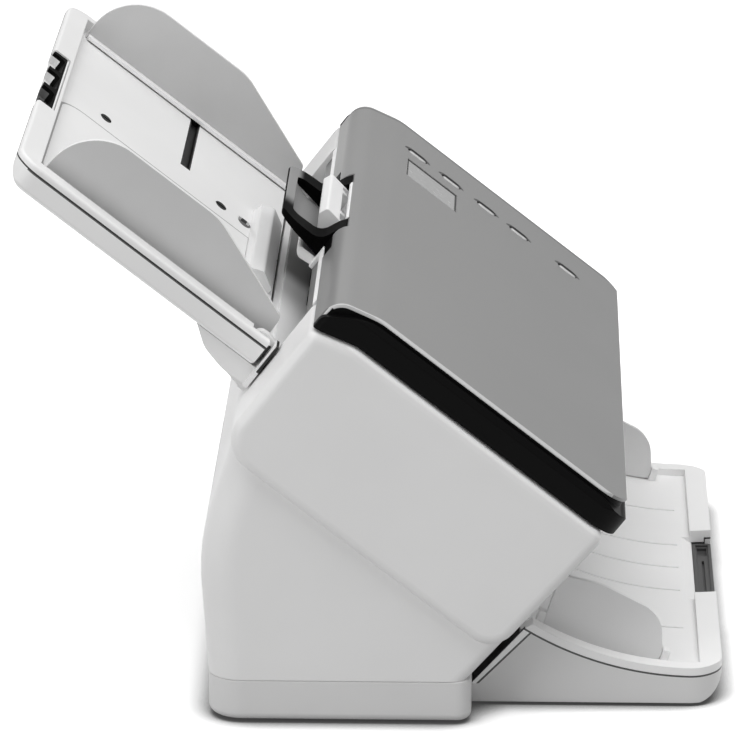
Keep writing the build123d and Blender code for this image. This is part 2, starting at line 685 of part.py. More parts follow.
def latch_hooks():
    """Hook plates on the ends of the latch shaft, beside the cover's tub."""
    s, v = LATCH
    face = outline(
        (s - 5, v, 4), (s, v + 5.5, 4), (s + 5.5, v, 4), (s + 4.6, 97, 2), (s - 1.2, 97, 1), (s - 1.2, 104, 2)
    )
    plate = along_x(face, -124.6, -122.5) - rod(-130, -120, s, v, SHAFT_R)
    return Compound(children=[tilt(plate), tilt(mirrored(plate))])


# Input tray
def tray_bracket():
    """Shelf and yoke behind the housing that carry the input tray on two stub pins."""
    s, v = TRAY_HINGE
    yoke = block(-TRAY_HALF, TRAY_HALF, HOUSING_BACK + 0.8, 120.9, 72, TRAY_RIM)
    yoke -= block(-122.6, 122.6, 100, 140, 86.2, 120)
    back = block(-122.6, 122.6, HOUSING_BACK, 120.9, 68, 86.2)
    shelf = TRAY_BOTTOM - 0.4
    belly = outline(
        (HOUSING_BACK, 68.0), (130, 70.5, 30), (142, 74.5, 12), (150, shelf), (120.0, shelf),
        (HOUSING_BACK, 78),
    )
    belly = along_x(belly, -122.6, 122.6)
    ends = outline((119.2, 72.0), (130, 71.5, 30), (142, 74.5, 12), (150, shelf), (119.2, shelf))
    ends = along_x(ends, -TRAY_HALF + 3, TRAY_HALF - 3)
    bracket = yoke + back + belly + ends
    for side in (-1, 1):
        x0, x1 = sorted((side * 123.9, side * 128.3))
        ear = outline((119.5, 85.6), (s + 4, 85.6, 3.9), (s + 4, 94, 3.9), (s - 2, 94, 2), (119.5, 92.5))
        pin0, pin1 = sorted((side * 124.5, side * 130.6))
        bracket += along_x(ear, x0, x1) + rod(pin0, pin1, s, v, 2.0)
    return tilt(bracket)


def tray_plan(inset):
    return plan(TRAY_HALF - inset, TRAY_START + inset, TRAY_END - inset, 0.6, 11 - inset)


def tray_end(inset):
    """Solid whose far end is rounded from below like the end of the tray."""
    low, end = TRAY_BOTTOM + inset, TRAY_END - inset
    face = outline((100, low), (end, low, 10.4 - inset), (end, 120), (100, 120))
    return along_x(face, -TRAY_HALF, TRAY_HALF)


def hinge_clearance():
    """Room in both tray mouldings for the bracket's ears and pins."""
    s, v = TRAY_HINGE
    room = rod(-131, 131, s, v, 2.0 + RUNNING) - block(-123, 123, 0, 300, 0, 200)
    for side in (-1, 1):
        x0, x1 = sorted((side * 123.5, side * 128.7))
        room += block(x0, x1, 120, s + 5.5, 84.8, 100)
    return room


def input_tray():
    """Upper moulding: floor, rims, guide slots and the stud of the pinion."""
    tray = along_z(tray_plan(0), TRAY_SEAM, TRAY_RIM)
    tray = fillet(tray.faces().sort_by(Axis.Z)[-1].edges(), 1.4)
    tray += along_z(tray_plan(2.8), TRAY_FLOOR - FLOOR, TRAY_SEAM)
    tray += block(-TRAY_POCKET, TRAY_POCKET, TRAY_START, 130, TRAY_FLOOR - FLOOR, TRAY_FLOOR)
    tray -= block(-TRAY_POCKET, TRAY_POCKET, 100, TRAY_CAP, TRAY_FLOOR, 120)
    pad = along_z(plan(58.5, 128, 235.5, 0.5, 12), TRAY_FLOOR - 0.5, TRAY_FLOOR + 0.4)
    tray += (Pos(-54, 0, 0) * pad) - block(-RAMP_HALF - 0.3, RAMP_HALF + 0.3, 120, 138.3, 0, 200)
    tray -= block(39.0, 120.0, RIGHT_RACK_S - 1.8, RIGHT_RACK_S + 1.8, 80, 100)
    tray -= block(-120.0, -39.0, LEFT_RACK_S - 1.8, LEFT_RACK_S + 1.8, 80, 100)
    for x0, x1, s0, s1 in FLOOR_SLOTS:
        tray -= block(x0, x1, s0, s1, 80, 100)
    tray -= block(-GRIP_HALF - 0.4, GRIP_HALF + 0.4, 238.4, 260, 80, 100)
    tray += Pos(0, PINION_S, (84.3 + TRAY_FLOOR - FLOOR) / 2) * Cylinder(2.0, TRAY_FLOOR - FLOOR - 84.3)
    return tilt((tray & tray_end(0)) - hinge_clearance())


def input_tray_shell():
    """Lower moulding of the input tray, a shallow tub."""
    shell = along_z(tray_plan(0), TRAY_BOTTOM, TRAY_SEAM)
    shell = fillet(shell.faces().sort_by(Axis.Z)[0].edges(), 2.6)
    shell = chamfer(shell.faces().sort_by(Axis.Z)[-1].edges(), 0.6)
    shell -= along_z(tray_plan(2.6), TRAY_BOTTOM + 1.8, TRAY_SEAM + 5)
    shell -= block(-129.4, 129.4, 100, 126, TRAY_FLOOR - FLOOR - 0.1, 100)
    shell -= block(-60.3, 60.3, 236, 260, 82.6, 84.35)
    shell -= block(-GRIP_HALF - 0.4, GRIP_HALF + 0.4, 238.4, 260, 82.5, 100)
    return tilt((shell & tray_end(0)) - hinge_clearance())


RAMP_HALF = 50.0
FLOOR_SLOTS = ((21.9, 23.2, 211.2, 216.8), (21.9, 23.2, 150.8, 156.4), (22.5, 27.5, 138.6, 144.2))


def feed_ramp():
    """Raised block in the middle of the tray's lower end."""
    face = outline(
        (124.5, TRAY_FLOOR), (138.0, TRAY_FLOOR), (136.8, 92.0, 1), (131.5, 94.0, 2), (124.5, 90.0)
    )
    return tilt(along_x(face, -RAMP_HALF, RAMP_HALF))


LEFT_RACK_S = PINION_S - 13.0
RIGHT_RACK_S = PINION_S + 13.0
PITCH_R = RACK_MODULE * PINION_TEETH / 2
RACK_BOTTOM, RACK_TOP = 84.4, 85.8
BACKLASH = 0.25


def guide_face():
    """Upright D-shaped sheet guide, in (s, v)."""
    return outline((123.5, 88.2), (234.0, 88.2, 1), (234.0, 117.4, 23), (168, 117.4, 24), (124.0, 100.4, 3))


def rack(x0, x1, direction):
    """Toothed bar; the teeth point along s by the sign of direction, with a gap at X = 0."""
    pitch = pi * RACK_MODULE
    slant = tan(radians(20))
    tip, root = 0.9 * RACK_MODULE, 1.2 * RACK_MODULE
    half = (pitch / 2 - BACKLASH) / 2
    points = []
    count = int((x1 - x0) / pitch) + 2
    first = int(x0 / pitch)
    for i in range(first, first + count):
        x = (i + 0.5) * pitch
        if x - pitch / 2 < x0 or x + pitch / 2 > x1:
            continue
        points += [
            (x - half - root * slant, -root), (x - half + tip * slant, tip),
            (x + half - tip * slant, tip), (x + half + root * slant, -root),
        ]
    points = [(x0, -root)] + points + [(x1, -root), (x1, -root - 5.0), (x0, -root - 5.0)]
    face = make_face(Polyline(*points, close=True))
    if direction < 0:
        face = mirror(face, about=Plane.XZ)
    return face


def side_guide(right):
    """Left or right guide: wall, foot, stem through the floor's slot, and rack under it."""
    sign = 1 if right else -1
    x0, x1 = sorted((sign * GUIDE_FACE, sign * (GUIDE_FACE - 2.4)))
    guide = along_x(guide_face(), x0, x1)
    x0, x1 = sorted((sign * GUIDE_FACE, sign * (GUIDE_FACE - 6.0)))
    guide += block(x0, x1, 123.5, 233.0, 88.2, 89.8)
    rack_s = RIGHT_RACK_S if right else LEFT_RACK_S
    x0, x1 = sorted((sign * (GUIDE_FACE - 1.2), sign * (GUIDE_FACE - 4.2)))
    guide += block(x0, x1, rack_s - 1.5, rack_s + 1.5, RACK_BOTTOM, 88.6)
    if right:
        bar = Pos(0, PINION_S + PITCH_R) * rack(-8, GUIDE_FACE - 1.2, -1)
    else:
        bar = Pos(0, PINION_S - PITCH_R) * rack(-GUIDE_FACE + 1.2, 8, 1)
    guide += along_z(bar, RACK_BOTTOM, RACK_TOP)
    return tilt(guide)


def involute(angle):
    return tan(angle) - angle


def guide_pinion():
    """Involute spur pinion that keeps both guides the same distance from the middle."""
    base = PITCH_R * cos(radians(20))
    tip, root = PITCH_R + 0.9 * RACK_MODULE, PITCH_R - 1.2 * RACK_MODULE
    half = (pi * RACK_MODULE / 2 - BACKLASH) / 2 / PITCH_R + involute(radians(20))
    radii = [base, (base + PITCH_R) / 2, PITCH_R, (PITCH_R + tip) / 2, tip]
    flank = [(r, half - involute(acos(min(1.0, base / r)))) for r in radii]
    points = []
    for tooth in range(PINION_TEETH):
        middle = pi / 2 + tooth * 2 * pi / PINION_TEETH
        sides = [(root, -half)] + [(r, -a) for r, a in flank]
        sides += [(r, a) for r, a in reversed(flank)] + [(root, half)]
        points += [(r * cos(middle + a), r * sin(middle + a)) for r, a in sides]
    gear = make_face(Polyline(*points, close=True)) - Circle(2.0 + RUNNING)
    return tilt(Pos(0, PINION_S, 0) * along_z(gear, RACK_BOTTOM, RACK_TOP))


def input_extender():
    """Flat slide that pulls out of the tray's end."""
    plate = along_z(plan(60, 131, 238.8, 6, 0.5), 82.8, 84.2)
    return tilt(plate)


def input_grip():
    """Dark grip in the end rim, with three round finger cells."""
    grip = block(-GRIP_HALF, GRIP_HALF, 238.8, TRAY_END - 0.4, 82.8, 92.4)
    grip = fillet(grip.edges().filter_by(Axis.Z), 1.5)
    grip &= tray_end(0.4)
    for x in (-28.0, 0.0, 28.0):
        grip -= Pos(x, 0, 0) * along_z(plan(11.5, 240.6, 250, 3.4, 1), 87.6, 99)
    return tilt(grip)


# Output tray
def rim_line(drop):
    """The hollow arc of the output tray's top, lowered by a drop."""
    y0, z0 = OUT_FLOOR_CENTRE
    r = OUT_RIM_R + drop

    def at(y):
        return (y, z0 - sqrt(r * r - (y - y0) ** 2))
    return at


def back_edge(z):
    """World Y of the tray's leaning back edge at a height."""
    (y0, z0), (y1, z1) = OUT_BACK_TOP, OUT_BACK_LOW
    return y0 + (z - z0) * (y1 - y0) / (z1 - z0)


def tray_band(upper, lower):
    """Side profile between two lowered copies of the rim line, up to the back edge."""
    top, low = rim_line(upper), rim_line(lower)
    back_top = top(back_edge(OUT_BACK_TOP[1] - upper))
    back_low = low(back_edge(OUT_BACK_TOP[1] - lower))
    front_top, front_low = top(OUT_FRONT), low(OUT_FRONT)
    mid_top, mid_low = top(-104.0), low(-104.0)
    return make_face([
        ThreePointArc(back_top, mid_top, front_top),
        Line(front_top, front_low),
        ThreePointArc(front_low, mid_low, back_low),
        Line(back_low, back_top),
    ])


OUT_SEAM, OUT_FLOOR, OUT_PLATE = 3.2, 3.0, 5.2
OUT_RIM_WIDTH = 8.0
OUT_CAP = -131.5
OUT_GRIP_HALF, OUT_GRIP_TOP = 40.5, 10.5


def out_plan(inset):
    return plan(OUT_HALF - inset, OUT_FRONT + inset, 0, 14 - inset, 0.1)


def output_tray():
    """Upper moulding of the output tray: hollow floor, ribs and rims."""
    tray = along_x(tray_band(0, OUT_SEAM), -OUT_HALF, OUT_HALF)
    tray &= along_z(out_plan(0), 0, 60)
    under = along_x(tray_band(OUT_SEAM - 0.6, OUT_PLATE), -OUT_HALF, OUT_HALF)
    tray += under & along_z(out_plan(2.9), 0, 60)
    pocket = along_x(tray_band(-8, OUT_FLOOR), -OUT_HALF + OUT_RIM_WIDTH, OUT_HALF - OUT_RIM_WIDTH)
    tray -= pocket & block(-200, 200, OUT_CAP, 0, 0, 80)
    ribs = along_x(tray_band(OUT_FLOOR - 0.5, OUT_FLOOR + 0.5), -100, 100)
    for x in (-78.0, -30.0, 0.0, 30.0, 78.0):
        tray += ribs & block(x - 0.8, x + 0.8, -126, -80, 0, 60)
    half = OUT_GRIP_HALF + 0.4
    tray += block(-half - 3, half + 3, -132.3, -125.5, OUT_GRIP_TOP - 1.6, 12.6)
    bevel = outline((-127.6, 13.3), (-132.4, OUT_GRIP_TOP), (-150, OUT_GRIP_TOP), (-150, 60), (-127.6, 60))
    tray -= along_x(bevel, -half, half) + block(-half, half, -200, -132.3, 0, 60)
    for x in (-GUIDE_AXIS_X, GUIDE_AXIS_X):
        for lug in guide_lugs(x):
            tray += lug
    return tray


GUIDE_AXIS_X = 121.0


def guide_axis():
    (y0, z0), (y1, z1) = OUT_GUIDE_BACK, OUT_GUIDE_FRONT
    length = hypot(y1 - y0, z1 - z0)
    return length, (y1 - y0) / length, (z1 - z0) / length


def on_axis(shape, x):
    """Place a piece drawn along +Z on the fold axis of an output guide."""
    length, dy, dz = guide_axis()
    place = Plane(origin=(x, *OUT_GUIDE_BACK), x_dir=(1, 0, 0), z_dir=(0, dy, dz))
    return place * shape


def guide_lugs(x):
    """Two lugs on the floor that hold the ends of a guide's pin."""
    length, _, _ = guide_axis()
    reach = along_x(tray_band(-20, OUT_PLATE - 0.4), x - 6, x + 6)
    lugs = []
    for start in (-3.2, length + 0.2):
        lug = on_axis(Pos(0, -4, start + 1.5) * Box(5.0, 13.0, 3.0), x) & reach
        hole = on_axis(Pos(0, 0, start + 1.5) * Cylinder(1.2 + RUNNING, 4.0), x)
        lugs.append(lug - hole)
    return lugs


def output_guide(x):
    """Upright D-shaped stop that folds flat on the output tray."""
    face = outline((-66.0, 24.0), (-75.9, 50.2, 4), (-92.0, 46.4, 30), (-116.3, 34.0, 14), (-116.6, 8.0))
    wall = along_x(face, x - 1.2, x + 1.2)
    wall -= along_x(tray_band(OUT_FLOOR - 0.6, 30), x - 2, x + 2)
    length, dy, dz = guide_axis()
    slab = on_axis(Pos(0, 0, length / 2) * Box(60, 200, length), x)
    wall &= slab
    pin = on_axis(Pos(0, 0, length / 2) * Cylinder(1.2, length + 6.0), x)
    return wall + pin


def output_tray_shell():
    """Lower moulding of the output tray: a wedge that butts against the pan."""
    top = tray_band(OUT_SEAM, OUT_SEAM + 1.0)
    seam = rim_line(OUT_SEAM)
    back_top = seam(back_edge(OUT_BACK_TOP[1] - OUT_SEAM))
    front_top = seam(OUT_FRONT)
    low = 1.4
    face = make_face([
        ThreePointArc(back_top, seam(-104.0), front_top),
        ThreePointArc(front_top, (-138.6, 6.4), (-131.5, low)),
        Line((-131.5, low), (-40.4, low)),
        Line((-40.4, low), (-40.4, OUT_BACK_LOW[1] - 1.0)),
        Line((-40.4, OUT_BACK_LOW[1] - 1.0), back_top),
    ])
    solid = along_x(face, -OUT_HALF, OUT_HALF) & along_z(out_plan(0), 0, 60)
    inner = offset(face, -2.4, kind=Kind.INTERSECTION)
    hollow = along_x(inner, -OUT_HALF + 2.4, OUT_HALF - 2.4) & along_z(out_plan(2.4), 0, 60)
    lid = along_x(tray_band(OUT_SEAM - 1, OUT_PLATE + 1.0), -OUT_HALF + 2.4, OUT_HALF - 2.4)
    shell = solid - hollow - (lid & along_z(out_plan(2.4), 0, 60))
    shell -= block(-70.4, 70.4, -150, -100, 6.9, 9.1)
    shell -= block(-OUT_GRIP_HALF - 0.4, OUT_GRIP_HALF + 0.4, -150, -132.3, 6.9, 60)
    for x in (-66.0, 66.0):
        for y0, y1 in ((-126.0, -120.0), (-74.0, -66.0)):
            shell += block(x - 5, x + 5, y0, y1, 2.0, 7.0)
    return shell


def output_extender():
    """Slide that pulls out of the front of the output tray."""
    plate = along_z(plan(70, -132.6, -66, 2, 8), 7.2, 8.8)
    return plate - along_z(Pos(0, -90) * SlotOverall(60, 10), 0, 20)


def output_grip():
    """Dark pull of the output slide, a shallow cup with a deep end and a groove."""
    grip = block(-OUT_GRIP_HALF, OUT_GRIP_HALF, OUT_FRONT, -132.6, 7.2, OUT_GRIP_TOP)
    grip = fillet(grip.edges().filter_by(Axis.Z), 1.2)
    grip -= block(-38.5, 38.5, -139.2, -134.0, 9.4, 20)
    grip -= block(27.0, 37.5, -138.6, -134.6, 8.0, 20)
    return grip - block(-28.0, 20.0, -137.2, -136.2, 8.0, 20)


def build():
    left = side_cover()
    save("left_side_cover", left)
    save("right_side_cover", mirrored(left))
    back, front = centre_walls()
    save("latch_catches", latch_catches())
    save("rear_cover", rear_cover(back))
    save("front_cover", front)
    save("bottom_pan", bottom_pan())
    save("rubber_feet", rubber_feet())
    save("main_board", main_board())
    save("usb_port", usb_port())
    save("power_inlet", power_inlet())

    save("lower_guide_plate", lower_guide_plate())
    save("lower_glass", tilt(glass(LOWER_GLASS_S, PAPER - GLASS)))
    save("lower_image_sensor", tilt(image_sensor(LOWER_GLASS_S, 73.0, PAPER - PLATE)))
    frame = side_frame()
    save("left_frame", frame)
    right_frame = mirrored(frame)
    save("right_frame", right_frame)
    save("shaft_bearings", shaft_bearings())
    save("feed_shaft", drive_shaft(FEED_AXIS))
    save("feed_tyres", tyres(FEED_AXIS, FEED_TYRES, FEED_R))
    save("feed_pulley", pulley(FEED_AXIS, FEED_PULLEY_R, SHAFT_R))
    save("exit_shaft", drive_shaft(EXIT_AXIS))
    save("exit_tyres", tyres(EXIT_AXIS, EXIT_TYRES, EXIT_R))
    save("exit_pulley", pulley(EXIT_AXIS, EXIT_PULLEY_R, SHAFT_R))
    save("drive_belt", drive_belt())
    save("drive_motor", drive_motor())
    save("motor_pulley", motor_pulley())

    save("cover_frame", cover_frame())
    save("cover_shell", cover_shell())
    save("upper_transport_unit", upper_transport_unit())
    save("upper_glass", tilt(glass(UPPER_GLASS_S, UNDERSIDE)))
    save("upper_image_sensor", tilt(image_sensor(UPPER_GLASS_S, UNDERSIDE + 2.2, 103.0)))
    save("separation_roller", roller_with_shaft(SEPARATOR, ((-12.0, 12.0),), SEPARATOR_R, 2.5, 17.4))
    save("idler_rollers", roller_with_shaft(IDLER, EXIT_TYRES, IDLER_R, 2.0, 100.4))
    save("finger_cup", finger_cup())
    save("finger_well", finger_well())
    save("rear_lip", rear_lip())
    save("display_lens", display_lens())
    save("control_board", control_board())
    for name, s in zip(("power", "up", "down", "start", "stop"), KEY_S):
        save(f"{name}_button", key(s))
    save("release_lever", release_lever())
    save("latch_shaft", latch_shaft())
    save("latch_hooks", latch_hooks())

    save("tray_bracket", tray_bracket())
    save("input_tray", input_tray())
    save("input_tray_shell", input_tray_shell())
    save("feed_ramp", feed_ramp())
    save("left_input_guide", side_guide(False))
    save("right_input_guide", side_guide(True))
    save("guide_pinion", guide_pinion())
    save("input_extender", input_extender())
    save("input_grip", input_grip())

    save("output_tray", output_tray())
    save("output_tray_shell", output_tray_shell())
    save("left_output_guide", output_guide(-GUIDE_AXIS_X))
    save("right_output_guide", output_guide(GUIDE_AXIS_X))
    save("output_extender", output_extender())
    save("output_grip", output_grip())


build()
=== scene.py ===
import math

import bmesh
import bpy
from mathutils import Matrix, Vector

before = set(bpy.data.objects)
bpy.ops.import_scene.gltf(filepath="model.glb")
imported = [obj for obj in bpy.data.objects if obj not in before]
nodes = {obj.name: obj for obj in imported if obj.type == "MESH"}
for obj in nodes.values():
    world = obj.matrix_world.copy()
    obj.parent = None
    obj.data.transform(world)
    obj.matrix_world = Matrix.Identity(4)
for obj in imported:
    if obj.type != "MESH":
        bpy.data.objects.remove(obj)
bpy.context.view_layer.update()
MM = 0.001

# Places on the pieces are given in millimetres: x from left to right, s up the paper path and
# v away from it. The path leans by SLOPE.
SLOPE = math.radians(38.0)
UP_PATH = (math.cos(SLOPE), math.sin(SLOPE))        # Y and Z of s
OFF_PATH = (-math.sin(SLOPE), math.cos(SLOPE))      # Y and Z of v


# Bottom pan and rubber feet.
# The pan is a shallow white tub under the pedestal, injection moulded in ABS with a fine
# spark-eroded grain; it is screwed to the covers from below and stands on four pressed-in feet.
class Wire:
    """One output of a shader node. Arithmetic on it adds the Math nodes."""

    def __init__(self, tree, output=None):
        self.tree = tree
        self.output = output

    def node(self, kind, settings=None, sockets=None, out=0):
        """Add a node of any other type: settings first, then values or links of its sockets."""
        new = self.tree.nodes.new(kind)
        for key, value in (settings or {}).items():
            setattr(new, key, value)
        for key, value in (sockets or {}).items():
            if isinstance(value, Wire):
                self.tree.links.new(value.output, new.inputs[key])
            else:
                new.inputs[key].default_value = value
        return Wire(self.tree, new.outputs[out] if len(new.outputs) else None)

    def maths(self, operation, *values):
        return self.node("ShaderNodeMath", {"operation": operation}, dict(enumerate(values)))

    def __add__(self, other):
        return self.maths("ADD", self, other)

    def __sub__(self, other):
        return self.maths("SUBTRACT", self, other)

    def __rsub__(self, other):
        return self.maths("SUBTRACT", other, self)

    def __mul__(self, other):
        return self.maths("MULTIPLY", self, other)

    def __abs__(self):
        return self.maths("ABSOLUTE", self)

    def __gt__(self, other):
        return self.maths("GREATER_THAN", self, other)

    def __lt__(self, other):
        return self.maths("LESS_THAN", self, other)

    def dot(self, other):
        return self.node(
            "ShaderNodeVectorMath", {"operation": "DOT_PRODUCT"}, {0: self, 1: other}, "Value"
        )

    def between(self, low, high):
        """0 below low, 1 above high, smooth in between."""
        return self.node(
            "ShaderNodeMapRange",
            {"interpolation_type": "SMOOTHSTEP", "clamp": True},
            {"Value": self, "From Min": low, "From Max": high, "To Min": 0.0, "To Max": 1.0},
        )

    def mix(self, colour, other):
        """Colour mixed towards another by this value."""
        factor, first, second, result = 0, 6, 7, 2      # the node's colour sockets
        return self.node(
            "ShaderNodeMix",
            {"data_type": "RGBA", "clamp_factor": True},
            {factor: self, first: colour, second: other},
            result,
        )

    def paint(self, *coats):
        """This colour with other colours over it, each where its mask is 1."""
        colour = self
        for mask, coat in coats:
            colour = mask.mix(colour, coat)
        return colour

    def noise(self, scale, detail=2.0, roughness=0.5, where=None):
        return self.node(
            "ShaderNodeTexNoise",
            {"noise_dimensions": "3D"},
            {
                "Vector": where or self.place(),
                "Scale": scale,
                "Detail": detail,
                "Roughness": roughness,
            },
        )

    def place(self):
        """Position on the piece, in metres."""
        return self.node("ShaderNodeTexCoord", out="Object")

    def across(self):
        """The place x on the piece."""
        return self.node("ShaderNodeSeparateXYZ", None, {0: self.place()}, "X") * 1000

    def along(self, y, z):
        """Place on the piece along a direction of the side view, in millimetres."""
        return self.place().dot((0, y, z)) * 1000

    def up(self):
        """The place s on the piece."""
        return self.along(*UP_PATH)

    def off(self):
        """The place v on the piece."""
        return self.along(*OFF_PATH)

    def facing(self, x, y, z):
        """How far the surface faces a direction, from -1 to 1."""
        normal = self.node("ShaderNodeNewGeometry", out="Normal")
        local = self.node(
            "ShaderNodeVectorTransform",
            {"vector_type": "NORMAL", "convert_from": "WORLD", "convert_to": "OBJECT"},
            {"Vector": normal},
        )
        return local.dot((x, y, z))


def rgb(level, warm=0.0):
    """Neutral colour of a display level from 0 to 255, as the linear value that shows it."""
    c = level / 255
    linear = c / 12.92 if c <= 0.04045 else ((c + 0.055) / 1.055) ** 2.4
    return (linear * (1 + warm), linear, linear * (1 - warm), 1)


def scaled(colour, factor):
    """A colour made darker or lighter, up to white."""
    return tuple(min(1.0, c * factor) for c in colour[:3]) + (1,)


def start(name):
    """New material with its shader and the wire that adds nodes to it."""
    material = bpy.data.materials.new(name)
    material.use_nodes = True
    return material, material.node_tree.nodes["Principled BSDF"], Wire(material.node_tree)


def finish(shader, colour, roughness):
    """Link the colour and the roughness to the shader."""
    colour.tree.links.new(colour.output, shader.inputs["Base Color"])
    colour.tree.links.new(roughness.output, shader.inputs["Roughness"])


def softened_edges(wire, shader, radius, height, grain):
    """Edges that look rounded and a grain, through the shader's normal; returns the edges' mask.

    The radius of the edges and the height of the grain are in millimetres.
    """
    rounded = wire.node("ShaderNodeBevel", {"samples": 6}, {"Radius": radius * MM})
    bump = wire.node(
        "ShaderNodeBump",
        None,
        {"Strength": 1.0, "Distance": height * MM, "Height": grain, "Normal": rounded},
    )
    wire.tree.links.new(bump.output, shader.inputs["Normal"])
    flat = wire.node("ShaderNodeNewGeometry", out="True Normal")
    return 1 - rounded.dot(flat).between(0.80, 0.985)


def moulding(name, level, warm=0.0, rough=0.42, grain=0.010, edge=0.5, wear_and_highlight=0.6, shine=0.5,
             coats=None):
    """Moulded plastic: even colour with faint clouding, spark-eroded grain and polished edges,
    painted a little lighter as wear and as a painted highlight.

    Coats is a function that gives the masks and colours painted over it.
    """
    material, shader, wire = start(name)
    fine = wire.noise(2600.0, 3.0, 0.6)
    cloud = wire.noise(14.0, 3.0, 0.55).between(0.3, 0.7)
    edges = softened_edges(wire, shader, edge, grain, fine)
    base = rgb(level, warm)
    # Edges painted a little lighter: partly wear, partly painted highlight.
    colour = (edges * wear_and_highlight).mix(cloud.mix(scaled(base, 0.965), base), scaled(base, 1.05))
    if coats:
        colour = colour.paint(*coats(wire))
    finish(shader, colour, cloud * 0.05 + (rough - 0.03) - edges * 0.08 + (fine - 0.5) * 0.06)
    shader.inputs["Specular IOR Level"].default_value = shine
    return material


def rubber(name, level):
    """Matt elastomer with a soft speckle and dusty bloom."""
    material, shader, wire = start(name)
    bloom = wire.noise(90.0, 4.0, 0.6).between(0.35, 0.75)
    softened_edges(wire, shader, 0.3, 0.03, wire.noise(1500.0, 2.0, 0.6))
    finish(shader, bloom.mix(rgb(level), rgb(level * 1.22 + 6)), bloom * 0.12 + 0.75)
    return material


def dress(material, *names):
    for name in names:
        slots = nodes[name].data.materials
        slots.clear()
        slots.append(material)


dress(moulding("pan_white", 220, 0.002, rough=0.5, grain=0.014), "bottom_pan")
dress(rubber("foot_rubber", 52), "rubber_feet")


# Main board with its two sockets.
# Green glass-fibre laminate with black and silver parts soldered on, screwed to four posts of
# the pan; the sockets stand at its rear edge behind the openings of the back wall.
MAIN_BOARD_TOP = 25.6                       # top face of the laminate
MASK_GREEN, TRACK_GREEN = (0.012, 0.10, 0.035, 1), (0.02, 0.17, 0.06, 1)
CHIP_BLACK, CHIP_GREY = (0.012, 0.012, 0.013, 1), (0.03, 0.03, 0.032, 1)


def board_finish(name, top, leaning):
    """Solder mask on the laminate, copper tracks under it, and dark moulded parts above it."""
    material, shader, wire = start(name)
    place = wire.place()
    if leaning:
        place = wire.node(
            "ShaderNodeVectorRotate",
            {"rotation_type": "X_AXIS"},
            {"Vector": place, "Angle": -SLOPE},
        )
    height = wire.node("ShaderNodeSeparateXYZ", None, {0: place}, "Z")
    cells = wire.node(
        "ShaderNodeTexVoronoi",
        {"feature": "F1", "distance": "CHEBYCHEV"},
        {"Vector": place, "Scale": 210.0},
    )
    tracks = cells.between(0.28, 0.32)
    above = height > (top + 0.2) * MM
    chips = wire.noise(300.0).between(0.4, 0.6).mix(CHIP_BLACK, CHIP_GREY)
    colour = above.mix(tracks.mix(MASK_GREEN, TRACK_GREEN), chips)
    finish(shader, colour, above * 0.25 + 0.25)
    bump = wire.node("ShaderNodeBump", None, {"Distance": 0.03 * MM, "Height": tracks})
    wire.tree.links.new(bump.output, shader.inputs["Normal"])
    return material


def metal(name, level, rough, brushed=(1.0, 40.0, 40.0)):
    """Bare metal with fine drawn lines along the axis whose stretch is smallest."""
    material, shader, wire = start(name)
    lines = wire.node("ShaderNodeMapping", None, {"Vector": wire.place(), "Scale": brushed})
    streak = wire.noise(60.0, 4.0, 0.7, lines)
    softened_edges(wire, shader, 0.25, 0.004, streak)
    finish(shader, streak.mix(rgb(level - 22), rgb(level)), streak * 0.16 + (rough - 0.08))
    shader.inputs["Metallic"].default_value = 1.0
    return material


dress(board_finish("main_board_finish", MAIN_BOARD_TOP, False), "main_board")
dress(metal("socket_steel", 205, 0.28), "usb_port")
dress(moulding("socket_black", 34, rough=0.38, edge=0.2), "power_inlet")


# Side frames, shafts and bushes.
# Two zinc-plated steel side frames stand on the pan and carry the driven shafts, ground steel
# bars that turn in white acetal bushes snapped into the frames.
def zinc(name):
    """Zinc-plated sheet: pale metal with the faint spangle and bluish passivation."""
    material, shader, wire = start(name)
    spangle = wire.node(
        "ShaderNodeTexVoronoi",
        {"feature": "F1"},
        {"Vector": wire.place(), "Scale": 120.0},
        "Color",
    )
    grey = wire.node("ShaderNodeRGBToBW", None, {"Color": spangle})
    softened_edges(wire, shader, 0.2, 0.003, grey)
    finish(shader, grey.mix((0.52, 0.54, 0.57, 1), (0.66, 0.67, 0.68, 1)), grey * 0.15 + 0.30)
    shader.inputs["Metallic"].default_value = 1.0
    return material


shaft_steel = metal("shaft_steel", 215, 0.22)
dress(zinc("frame_zinc"), "left_frame", "right_frame")
dress(shaft_steel, "feed_shaft", "exit_shaft", "latch_catches")
dress(moulding("bush_acetal", 232, rough=0.3, grain=0.003, edge=0.2), "shaft_bearings")


# Driven rollers.
# Feed and exit tyres are grey EPDM rubber pressed on the shafts, with fine ground grooves
# round them that grip the paper.
def ground_rubber(name, level):
    """Roller rubber: matt, ground round, with fine ribs across the paper's way."""
    material, shader, wire = start(name)
    ribs = wire.node(
        "ShaderNodeTexWave",
        {"wave_type": "BANDS", "bands_direction": "X"},
        {"Vector": wire.place(), "Scale": 260.0, "Distortion": 0.4},
    )
    softened_edges(wire, shader, 0.3, 0.05, ribs)
    dust = wire.noise(200.0, 4.0).between(0.35, 0.7)
    finish(shader, dust.mix(rgb(level), rgb(level + 14)), dust * 0.1 + 0.68)
    return material


tyre_rubber = ground_rubber("tyre_rubber", 74)
dress(tyre_rubber, "feed_tyres", "exit_tyres")


# Belt drive.
# A steel can motor sits on the left frame; its pulley turns both shafts through one black
# rubber belt that runs over flanged acetal pulleys outside the frame.
pulley_acetal = moulding("pulley_acetal", 60, rough=0.34, grain=0.003, edge=0.2)
dress(ground_rubber("belt_rubber", 30), "drive_belt")
dress(pulley_acetal, "feed_pulley", "exit_pulley", "motor_pulley")
dress(metal("motor_can", 188, 0.34, brushed=(40.0, 1.0, 1.0)), "drive_motor")


# Body covers.
# The two side covers, the rear cover and the front cover are white ABS mouldings with a satin
# spark-eroded finish; they clip together at the crease and stand on the rim of the pan.
RIM_V, RIM_END_S = 117.4, 104.0             # start of the side covers' rounded rim, and its end


